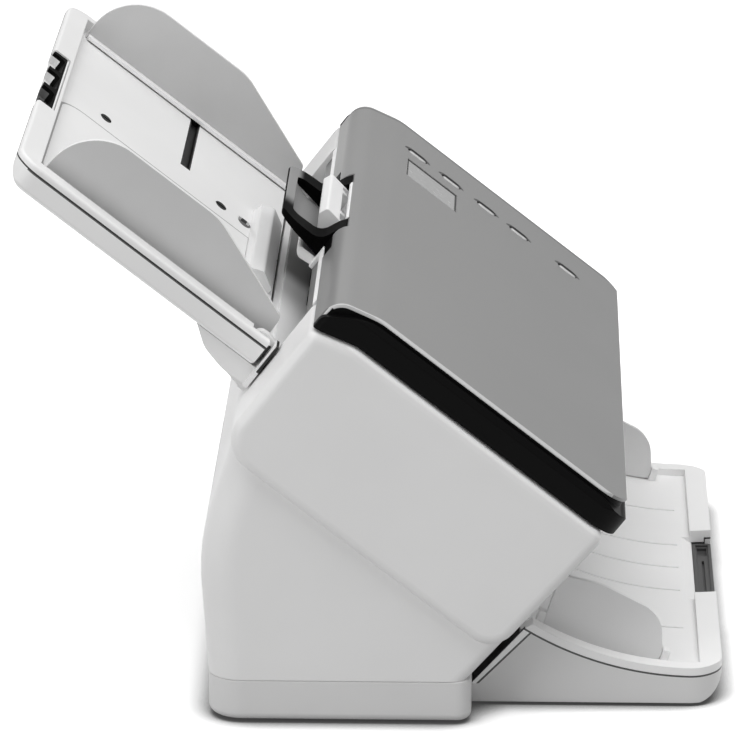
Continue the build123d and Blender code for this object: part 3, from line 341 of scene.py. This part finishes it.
def lit_rim(wire):
    """Painted highlight on the side covers' rounded rim along the black band."""
    s, v = wire.up(), wire.off()
    rim = v.between(RIM_V, RIM_V + 1.4) * (1 - s.between(RIM_END_S, RIM_END_S + 8.0))
    return [(rim * 0.9, rgb(255))]


side_white = moulding("side_white", 234, 0.002, coats=lit_rim)
dress(side_white, "left_side_cover", "right_side_cover")
dress(moulding("body_white", 234, 0.002), "rear_cover", "front_cover")


# Lower half of the paper path.
# A grey glass-filled plate with roller windows and raised rails; a strip of float glass lies
# flush in it over the sensor bar that reads the underside of the sheet.
MOUTH_S, MOUTH_X = 103.0, (-14.0, 8.0)      # painted light in the mouth: its start and its fading end


def strip_glass(name):
    """Clear float glass with a faint green body and dust on its face."""
    material, shader, wire = start(name)
    dust = wire.noise(160.0, 5.0, 0.6).between(0.45, 0.8)
    finish(shader, dust.mix((0.80, 0.88, 0.85, 1), (0.86, 0.88, 0.87, 1)), dust * 0.08 + 0.02)
    shader.inputs["Transmission Weight"].default_value = 0.85
    shader.inputs["IOR"].default_value = 1.5
    return material


def pale_mouth(wire):
    """Painted light and shade: the near half of the plate's upper end is painted pale, and the
    far half keeps the darker grey of the shaded mouth.
    """
    return [((wire.up() > MOUTH_S) * (1 - wire.across().between(*MOUTH_X)), rgb(244))]


path_grey = moulding("path_grey", 118, rough=0.36, grain=0.006, coats=pale_mouth)
sensor_black = moulding("sensor_black", 30, rough=0.45, edge=0.3)
dress(path_grey, "lower_guide_plate")
dress(strip_glass("strip_glass"), "lower_glass", "upper_glass")
dress(sensor_black, "lower_image_sensor", "upper_image_sensor")


# Upper transport unit.
# A dark grey tub under the lid that carries the upper half of the paper path: the braked
# separation roller, the sprung idlers and the second glass strip.
dress(moulding("unit_grey", 92, rough=0.4), "upper_transport_unit")
dress(ground_rubber("separation_rubber", 104), "separation_roller")
dress(tyre_rubber, "idler_rollers")


# Cover frame, the black band.
# A black moulded frame round three sides of the cover, satin on top and glossier on its
# rounded lower edge, screwed up into the lid.
band_black = moulding("band_black", 10, rough=0.46, grain=0.006, edge=0.6, wear_and_highlight=1.0, shine=0.05)
dress(band_black, "cover_frame")


# Lid of the cover.
# A flat satin grey lid, painted over ABS with a very fine metallic grain, with rounded front
# and back edges, a window for the display and five key holes.
KEY_X = 121.0                               # middle line of the keys
KEY_S = (88.0, 69.5, 50.0, 32.0, 5.0)       # middles of the keys, from back to front
KEY_STRAIGHT, KEY_RING = 2.0, 5.0           # half of a key's straight sides, radius of the painted shade ring beside it
LID_EDGE_X, RIM_LINE_X = 159.6, 156.5       # edge of the lid, and the painted shade line beside it
NOTCH_S, NOTCH_V, NOTCH_X = 115.6, (119.0, 129.0), 31.0      # white inside of the lid's notch
BACK_SHADE_S, BACK_SHADE_X = (115.6, 117.4), (-46.0, -36.0)  # shade on the back edge, near end


def lid_paint(name, level):
    """Satin paint with fine flake: grey, faint sparkle, slight orange peel, with painted
    highlights and painted shade.
    """
    material, shader, wire = start(name)
    flake = wire.noise(5200.0, 2.0, 0.7)
    peel = wire.noise(420.0, 2.0, 0.5)
    edges = softened_edges(wire, shader, 0.6, 0.006, flake + peel)
    cloud = wire.noise(9.0, 2.0).between(0.3, 0.7)
    colour = cloud.mix(rgb(level - 3, 0.004), rgb(level, 0.004))
    colour = (flake.between(0.55, 0.72) * 0.5).mix(colour, rgb(level + 22, 0.004))
    # Painted highlight on the softened edges.
    colour = (edges * 0.5).mix(colour, rgb(level + 30))
    x, s, v = wire.across(), wire.up(), wire.off()
    # Painted shade, darker towards the front of the lid.
    low = (1 - s.between(-5.0, 95.0)) * 0.9
    back = s.between(*BACK_SHADE_S) * (1 - x.between(*BACK_SHADE_X)) * 0.7
    # Painted shade line along the lid's far edge, inside the rim.
    line = x.between(RIM_LINE_X - 1.3, RIM_LINE_X - 0.7)
    line = line - x.between(RIM_LINE_X + 1.1, RIM_LINE_X + 1.7)
    notch = (s > NOTCH_S) * (v > NOTCH_V[0]) * (v < NOTCH_V[1]) * (abs(x) < NOTCH_X)
    # Painted highlight on the lid's rounded sides.
    side_highlight = (abs(x) > LID_EDGE_X - 1.4) * 0.9
    coats = [(low, rgb(level - 8)), (back, rgb(104)), (line * 0.45, rgb(60)), (notch, rgb(246)),
             (side_highlight, rgb(214))]
    # Painted shade ring beside the far side of each key.
    for key in KEY_S:
        beyond = wire.maths("MAXIMUM", abs(s - key) - KEY_STRAIGHT, 0.0)
        gap = beyond * beyond + (x - KEY_X) * (x - KEY_X)
        coats.append(((gap < KEY_RING ** 2) * (x > KEY_X), rgb(44)))
    finish(shader, colour.paint(*coats), cloud * 0.05 + 0.40 - edges * 0.08)
    shader.inputs["Coat Weight"].default_value = 0.15
    shader.inputs["Coat Roughness"].default_value = 0.35
    return material


dress(lid_paint("lid_grey", 144), "cover_shell")


# Display, keys and control board.
# The display is a pale acrylic window; the five oval keys are grey with a dished top and
# spring back from the small board that hangs on posts under the lid.
DISPLAY_X, DISPLAY_S = (78.0, 106.0), (66.0, 93.0)      # edges of the window
CONTROL_BOARD_TOP = 128.6                               # top face of the laminate, along v


def grey_window(name):
    """Pale switched-off display behind acrylic with faint haze, and a dark border painted as the
    shade of its recess, wider on the far side.
    """
    material, shader, wire = start(name)
    haze = wire.noise(300.0, 4.0).between(0.4, 0.8)
    x, s = wire.across(), wire.up()
    left, right, front, back = *DISPLAY_X, *DISPLAY_S
    inside_x = x.between(left + 0.2, left + 0.7) - x.between(right - 2.6, right - 1.8)
    inside_s = s.between(front + 0.7, front + 1.2) - s.between(back - 1.2, back - 0.7)
    colour = (inside_x * inside_s).mix(rgb(44), haze.mix(rgb(172), rgb(178)))
    finish(shader, colour, haze * 0.08 + 0.22)
    shader.inputs["Specular IOR Level"].default_value = 0.15
    return material


def dished(wire):
    """Dished top of a key: its far side lies in shade and its near side catches the light."""
    return [(wire.across().between(KEY_X - 2.3, KEY_X - 1.0), rgb(28))]


key_grey = moulding("key_grey", 214, rough=0.4, grain=0.004, edge=0.3, shine=0.04, coats=dished)
dress(key_grey, "power_button", "up_button", "down_button", "start_button", "stop_button")
dress(grey_window("display_grey"), "display_lens")
dress(board_finish("control_board_finish", CONTROL_BOARD_TOP, True), "control_board")


# Finger cup, release lever and latch.
# A black hoop stands out behind the lid; inside it a white lever on a steel shaft is pulled up
# by two fingers and swings the hooks off the catches.
BAR_S, BAR_X = 134.0, (-24.0, -8.0)         # front of the hoop's back bar, start of its painted reflection
TROUGH_X = (-30.0, -4.0)                    # where the shade of the trough's near end fades


def lit_bar(wire):
    """Painted reflection on the top of the hoop's back bar."""
    top = wire.up().between(BAR_S - 2.0, BAR_S + 1.5) * (wire.facing(0, *OFF_PATH) > 0.7)
    return [(top * wire.across().between(*BAR_X), rgb(150))]


def shaded_end(wire):
    """Near end of the trough, which lies in shade."""
    return [(1 - wire.across().between(*TROUGH_X), rgb(84))]


cup_black = moulding(
    "cup_black", 10, rough=0.4, grain=0.004, edge=0.6, wear_and_highlight=1.0, shine=0.01, coats=lit_bar
)
well_grey = moulding("well_grey", 156, rough=0.4, grain=0.006, coats=shaded_end)
dress(cup_black, "finger_cup")
dress(well_grey, "finger_well")
dress(moulding("lip_white", 248, 0.002), "rear_lip")
dress(moulding("lever_white", 250, rough=0.36, grain=0.004), "release_lever")
dress(shaft_steel, "latch_shaft")
dress(metal("hook_steel", 190, 0.36), "latch_hooks")


# Input tray.
# Two white mouldings snapped together, hung on the stub pins of a bracket behind the body; a
# pale ramp in the middle lifts the stack towards the rollers.
YOKE_S, YOKE_V, YOKE_X = 120.0, 79.8, 122.6     # painted shade of the gap that the yoke leaves beside the cover
EAR_S, EAR_V, EAR_X = 120.95, (81.0, 90.8), 129.0   # shade behind the ears of the yoke
SEAM_V, SEAM_X, SHELL_BOTTOM_V = 90.3, 131.0, 80.8  # seam and underside of the tray
SHELL_END_S, TRAY_END_S, TRAY_END_V = 122.9, 122.7, 91.6    # painted shade at the open ends of the mouldings
PAD_X, PAD_END_S, PAD_HALF, PAD_ROUND = -54.0, 235.5, 58.5, 12.0    # pad, its corners' radius
RACK_S, RACK_X, RACK_V = 173.5, (38.0, 121.0), 88.2     # slot of the far guide's toothed bar
HOLE_V = 85.0                                           # the holes are seen above this
HOLES = (                                   # x, s, both half lengths, display level
    (22.5, 213.9, 4.2, 2.7, 22),
    (22.5, 153.4, 4.2, 2.7, 22),
    (23.0, 141.2, 5.0, 3.2, 96),
)


def painted_yoke_shade(wire):
    """Painted shade: the yoke near black in the gap beside the side cover, and dark behind its
    ears.
    """
    side, s, v = abs(wire.across()), wire.up(), wire.off()
    ears = (s > EAR_S) * (v > EAR_V[0]) * (v < EAR_V[1]) * (side < EAR_X)
    return [((s < YOKE_S) * (v > YOKE_V) * (side > YOKE_X), rgb(10)), (ears, rgb(20))]


def unlit_inside(wire):
    """Painted highlight along the lower moulding's bottom edge, and painted shade where it faces
    up, along the seam and at its open end.
    """
    side, s, v = abs(wire.across()), wire.up(), wire.off()
    return [
        (v < SHELL_BOTTOM_V + 1.2, rgb(250)),
        ((v > SEAM_V - 1.1) * (side > SEAM_X), rgb(84)),
        (s < SHELL_END_S, rgb(24)),
        (wire.facing(0, *OFF_PATH).between(0.45, 0.55), rgb(46)),
    ]


def pad_line(wire):
    """Painted shade: a thin grey line round the raised pad, the tray's dark open end, and the
    dark insides of its holes and slot.
    """
    x, s, v = wire.across(), wire.up(), wire.off()
    side = wire.maths("MAXIMUM", abs(x - PAD_X) - (PAD_HALF - PAD_ROUND), 0.0)
    end = wire.maths("MAXIMUM", s - (PAD_END_S - PAD_ROUND), 0.0)
    edge = abs(wire.maths("SQRT", side * side + end * end) - PAD_ROUND)
    coats = [(edge < 1.1, rgb(166)), ((s < TRAY_END_S) * (v < TRAY_END_V), rgb(24))]
    for hole_x, hole_s, half_x, half_s, level in HOLES:
        dx, ds = (x - hole_x) * (1 / half_x), (s - hole_s) * (1 / half_s)
        coats.append(((dx * dx + ds * ds < 1.0) * (v > HOLE_V), rgb(level)))
    slot = (abs(s - RACK_S) < 2.5) * (x > RACK_X[0]) * (x < RACK_X[1]) * (v < RACK_V)
    return coats + [(slot, rgb(18))]


tray_white = moulding("tray_white", 238, 0.002, rough=0.44, shine=0.12, coats=pad_line)
dress(moulding("bracket_white", 234, 0.002, coats=painted_yoke_shade), "tray_bracket")
dress(moulding("tray_shell_white", 234, 0.002, coats=unlit_inside), "input_tray_shell")
dress(tray_white, "input_tray")
dress(moulding("ramp_clear", 236, rough=0.25, grain=0.002), "feed_ramp")


# Sheet guides with their racks and pinion.
# The guides are frosted grey polycarbonate; each has a toothed bar under the floor, and the
# acetal pinion between the bars keeps them centred.
GUIDE_WALL_X, GUIDE_FOOT_V, GUIDE_BAR_V = 117.1, 90.0, 87.9     # inner face, foot, toothed bar


def frosted(name, level, foot):
    """Frosted polycarbonate: grey, white on a guide's inner foot; painted highlights on its edges
    and on faces that do not face sideways, and painted shade on the toothed bar.
    """
    material, shader, wire = start(name)
    fine = wire.noise(3000.0, 3.0, 0.6)
    edges = softened_edges(wire, shader, 0.5, 0.008, fine)
    cloud = wire.noise(30.0, 3.0).between(0.3, 0.7)
    colour = cloud.mix(rgb(level - 4), rgb(level))
    # Painted highlight on the edges.
    colour = (edges * 0.9).mix(colour, rgb(min(250, level + 45)))
    # Painted highlight on the faces that do not face sideways.
    coats = [(abs(wire.facing(1, 0, 0)) < 0.5, rgb(238))]
    if foot:
        v = wire.off()
        inner = abs(wire.across()) < GUIDE_WALL_X
        # The toothed bar under the floor is painted near black as the shade in the slot above it.
        coats += [((v < GUIDE_FOOT_V) * inner, rgb(255)), (v < GUIDE_BAR_V, rgb(22))]
    finish(shader, colour.paint(*coats), cloud * 0.06 + 0.42 - edges * 0.1)
    shader.inputs["Specular IOR Level"].default_value = 0.2
    return material


pinion_dark = moulding("pinion_dark", 44, rough=0.34, grain=0.003, edge=0.2)
dress(frosted("guide_grey", 203, True), "left_input_guide", "right_input_guide")
dress(pinion_dark, "guide_pinion")


# Slides and their grips.
# Each tray has a flat slide that draws out under longer sheets, with a dark grip in the end
# rim: three round cells on the input tray and one long cup on the output tray.
CELL_V, CELL_S, FIRST_BAR_X = 90.8, 242.2, -14.0    # the cells lie below and behind, first bar
GRIP_EDGE_S = 239.6                                 # the grip's pale edge lies before this line


def pale_cells(wire):
    """Pale floors of the finger cells under a black rim; the first cell's floor is painted greyer
    as shade.
    """
    s, v = wire.up(), wire.off()
    inside = (v < CELL_V) * (s > CELL_S)
    first = inside * (wire.across() < FIRST_BAR_X)
    return [(inside, rgb(222)), (first, rgb(96)), (s < GRIP_EDGE_S, rgb(232))]


grip_black = moulding(
    "grip_black", 14, rough=0.4, edge=0.4, wear_and_highlight=1.0, shine=0.01, coats=pale_cells
)
dress(moulding("slide_grey", 226, rough=0.45), "input_extender", "output_extender")
dress(grip_black, "input_grip")
dress(moulding("grip_dark", 74, rough=0.38, edge=0.4, wear_and_highlight=1.2), "output_grip")


# Output tray and its two folding stops.
# Two white mouldings form a hollow tray that butts against the foot of the machine; the
# frosted stops fold flat on it about steel pins.
ARC_Y, ARC_Z, ARC_RADIUS = -130.0, 143.1, 127.0     # hollow arc of the tray's rim, from the side
JOINT_DROP = 3.95                                   # the joint's groove ends this far under it
BACK_NORMAL, BACK_EDGE = (0.713, 0.701), -21.95     # leaning back face: its direction and place
FOOT_Z = 9.0                                        # the strip on the back ends above this


def seam_groove(wire):
    """Painted shade and light: a dark groove between the two mouldings, dark tops, and a dark and
    a light strip before the back, which is painted near black as shade.
    """
    y, z = wire.along(1, 0), wire.along(0, 1)
    dy, dz = y - ARC_Y, z - ARC_Z
    drop = wire.maths("SQRT", dy * dy + dz * dz) - ARC_RADIUS
    high = z > FOOT_Z
    inside = BACK_EDGE - wire.along(*BACK_NORMAL)
    return [
        (drop < JOINT_DROP, rgb(60)),
        (wire.facing(0, 0, 1) > 0.85, rgb(46)),
        ((inside < 2.5) * high, rgb(66)),
        ((inside < 1.7) * high * (drop > JOINT_DROP), rgb(252)),
        (wire.facing(0, *BACK_NORMAL) > 0.8, rgb(14)),
    ]


dress(moulding("out_white", 250, 0.002, rough=0.44), "output_tray")
dress(moulding("out_shell_white", 224, 0.002, coats=seam_groove), "output_tray_shell")
dress(frosted("stop_grey", 236, False), "left_output_guide", "right_output_guide")


# Camera at the photograph's place: a long lens from the operator's left, a little above. Its
# aim, angles in radians, distance and focal length were solved from the photograph's outlines.
TARGET, DISTANCE = Vector((0.0, 4.892, 99.659)) * MM, 2.440
FALL, TURN = 0.28798, 0.02803
SENSOR, FOCAL_LENGTH = 36.0, 285.86
aim = Vector((math.cos(FALL) * math.cos(TURN), math.cos(FALL) * math.sin(TURN), -math.sin(FALL)))
lens = bpy.data.cameras.new("photo_camera")
lens.sensor_width = SENSOR
lens.lens = FOCAL_LENGTH
lens.clip_end = 50.0
camera = bpy.data.objects.new("photo_camera", lens)
camera.location = TARGET - aim * DISTANCE
camera.rotation_euler = aim.to_track_quat("-Z", "Y").to_euler()
bpy.context.scene.collection.objects.link(camera)
bpy.context.scene.camera = camera


# Floor: one wide pale sheet. Camera and glossy rays see it white, with a painted contact shadow
# of grey where the object nearly touches it; the other rays see a mid grey.
FLOOR_HALF = 6.0                            # half of its width, in metres
CONTACT_REACH = 16 * MM
WHITE, CONTACT_GREY, BOUNCE_GREY = (1, 1, 1, 1), (0.09, 0.09, 0.09, 1), (0.45, 0.45, 0.45, 1)
floor_mesh = bpy.data.meshes.new("floor")
shape = bmesh.new()
bmesh.ops.create_grid(shape, x_segments=4, y_segments=4, size=FLOOR_HALF)
shape.to_mesh(floor_mesh)
shape.free()
floor = bpy.data.objects.new("floor", floor_mesh)
bpy.context.scene.collection.objects.link(floor)
paper = bpy.data.materials.new("floor_white")
paper.use_nodes = True
paper.node_tree.nodes.clear()
wire = Wire(paper.node_tree)
seen = (wire.node("ShaderNodeLightPath", out="Is Camera Ray")
        + wire.node("ShaderNodeLightPath", out="Is Glossy Ray"))
# Painted contact shadow: ambient occlusion darkens the floor to grey beside the object.
open_sky = wire.node(
    "ShaderNodeAmbientOcclusion", {"samples": 12}, {"Distance": CONTACT_REACH}, "AO"
)
white = open_sky.between(0.3, 0.98).mix(CONTACT_GREY, WHITE)
matt = wire.node("ShaderNodeBsdfDiffuse", None, {"Color": seen.mix(BOUNCE_GREY, white)})
away = wire.node("ShaderNodeVectorMath", {"operation": "LENGTH"}, {0: wire.place()}, "Value")
strength = seen * (away.between(0.5, 2.5) * 0.7 + 0.44)
lift = wire.node("ShaderNodeEmission", None, {"Color": white, "Strength": strength})
both = wire.node("ShaderNodeAddShader", None, {0: matt, 1: lift})
wire.node("ShaderNodeOutputMaterial", None, {"Surface": both})
floor_mesh.materials.append(paper)


# Studio light: a large soft lamp overhead, a weaker one from the back left, and an even grey
# sky that the camera sees white.
LAMP_AIM = Vector((0, 0, 0.1))
SKY_STRENGTH = 0.42


def softbox(name, place, width, power):
    """Square area lamp that looks at the machine."""
    lamp = bpy.data.lights.new(name, "AREA")
    lamp.shape = "RECTANGLE"
    lamp.size = lamp.size_y = width
    lamp.energy = power
    holder = bpy.data.objects.new(name, lamp)
    holder.location = place
    holder.rotation_euler = (LAMP_AIM - Vector(place)).to_track_quat("-Z", "Y").to_euler()
    bpy.context.scene.collection.objects.link(holder)


softbox("overhead", (-0.1, -0.2, 1.7), 2.0, 24.0)
softbox("back_left", (-1.4, 1.5, 0.9), 1.0, 11.0)
sky = bpy.data.worlds.new("studio")
sky.use_nodes = True
sky.node_tree.nodes.clear()
wire = Wire(sky.node_tree)
direct = wire.node("ShaderNodeLightPath", out="Is Camera Ray")
shown = wire.node("ShaderNodeBackground", None, {"Color": WHITE, "Strength": 1.0})
even = wire.node("ShaderNodeBackground", None, {"Color": WHITE, "Strength": SKY_STRENGTH})
both = wire.node("ShaderNodeMixShader", None, {0: direct, 1: even, 2: shown})
wire.node("ShaderNodeOutputWorld", None, {"Surface": both})
bpy.context.scene.world = sky
bpy.context.scene.view_settings.view_transform = "Standard"
